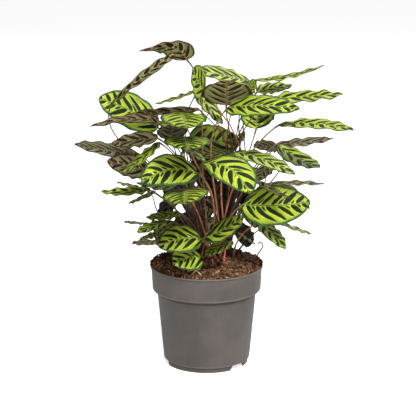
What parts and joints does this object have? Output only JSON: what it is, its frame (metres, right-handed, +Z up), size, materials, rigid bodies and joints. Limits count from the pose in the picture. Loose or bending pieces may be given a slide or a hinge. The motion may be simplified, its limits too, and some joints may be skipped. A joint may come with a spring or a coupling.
{
  "type": "potted calathea",
  "caption": "Bushy peacock plant with patterned, wavy leaves on thin arching stalks, growing in a filled round grower's pot with a deep collar.",
  "frame": {"origin": "middle of the pot's foot ring, on the surface that it stands on", "axes": "+Z up along the pot's axis; -Y towards the side with the lowest front leaves, +X to the right seen from there"},
  "size_m": [0.4091, 0.336, 0.501],
  "materials": {
    "pot_plastic": "satin taupe grey moulded plastic with a faint grain",
    "soil": null,
    "stalk": null,
    "leaf": null
  },
  "bodies": {
    "root": {"pot": "pot_plastic", "soil": "soil", "clump": "stalk", "back_shoot": "leaf", "leaf_top1": "leaf", "leaf_top2": "leaf", "leaf_top3": "leaf", "leaf_top4": "leaf", "leaf_top5": "leaf", "leaf_top6": "leaf", "leaf_top7": "leaf", "leaf_top8": "leaf", "leaf_top9": "leaf", "leaf_top10": "leaf", "leaf_top11": "leaf", "leaf_top12": "leaf", "leaf_top13": "leaf", "leaf_right1": "leaf", "leaf_right2": "leaf", "leaf_right3": "leaf", "leaf_right4": "leaf", "leaf_right5": "leaf", "leaf_right6": "leaf", "leaf_right7": "leaf", "leaf_right8": "leaf", "leaf_right9": "leaf", "leaf_right10": "leaf", "leaf_right11": "leaf", "leaf_right12": "leaf", "leaf_right13": "leaf", "leaf_right14": "leaf", "leaf_right15": "leaf", "leaf_right16": "leaf", "leaf_left1": "leaf", "leaf_left2": "leaf", "leaf_left3": "leaf", "leaf_left4": "leaf", "leaf_left5": "leaf", "leaf_left6": "leaf", "leaf_left7": "leaf", "leaf_left8": "leaf", "leaf_left9": "leaf", "leaf_left10": "leaf", "leaf_left11": "leaf", "leaf_left12": "leaf", "leaf_left13": "leaf", "leaf_left14": "leaf", "leaf_cen1": "leaf", "leaf_cen2": "leaf", "leaf_cen3": "leaf", "leaf_cen4": "leaf", "leaf_cen5": "leaf", "leaf_cen6": "leaf", "leaf_cen7": "leaf", "leaf_front1": "leaf", "leaf_front2": "leaf", "leaf_front3": "leaf", "leaf_front4": "leaf", "leaf_front5": "leaf", "leaf_front6": "leaf"}
  },
  "joints": []
}
